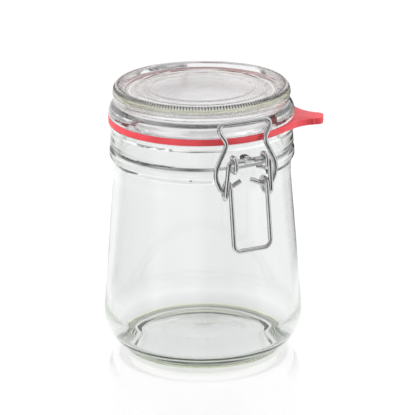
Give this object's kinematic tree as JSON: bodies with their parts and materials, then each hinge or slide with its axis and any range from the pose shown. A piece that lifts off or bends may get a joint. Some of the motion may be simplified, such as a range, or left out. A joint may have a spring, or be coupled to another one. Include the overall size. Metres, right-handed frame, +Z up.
{
  "type": "bail clamp jar",
  "caption": "Round storage jar in clear glass with a hinged glass lid, a flat rubber sealing ring with a pull tab, and a wire bail closed by an over-centre wire lever.",
  "frame": {"origin": "centre of the foot's bearing ring, on the surface that the jar stands on", "axes": "+Z up along the jar's axis, clasp and lever on the -Y side, hinge on the +Y side"},
  "size_m": [0.1182, 0.1274, 0.157],
  "materials": {
    "jar_glass": "clear soda-lime glass, smooth, faint green in thick sections",
    "lid_glass": "clear pressed glass, knurled rim",
    "red_rubber": "matte red rubber",
    "wire_steel": "bright drawn steel wire"
  },
  "bodies": {
    "jar": {"glass_jar": "jar_glass", "front_bracket_wire": "wire_steel", "rear_bracket_wire": "wire_steel"},
    "lid": {"glass_lid": "lid_glass", "rubber_gasket": "red_rubber", "hinge_wire": "wire_steel"},
    "lever": {"closing_lever": "wire_steel"},
    "bail": {"closure_bail": "wire_steel"}
  },
  "joints": [
    {"name": "lid_swing", "type": "hinge", "parent": "jar", "child": "lid", "pos_m": [0, 0.05915, 0.127], "axis": [-1, 0, 0], "range_deg": [0, 100]},
    {"name": "lever_swing", "type": "hinge", "parent": "jar", "child": "lever", "pos_m": [0, -0.05915, 0.127], "axis": [-1, 0, 0], "range_deg": [0, 95]},
    {"name": "bail_swing", "type": "hinge", "parent": "lever", "child": "bail", "pos_m": [0, -0.055, 0.1106], "axis": [1, 0, 0], "range_deg": [0, 155]}
  ],
  "couplings": [
    {"joint": "lever_swing", "follows": "lid_swing", "ratio": 0.95},
    {"joint": "bail_swing", "follows": "lid_swing", "ratio": 1.55}
  ]
}
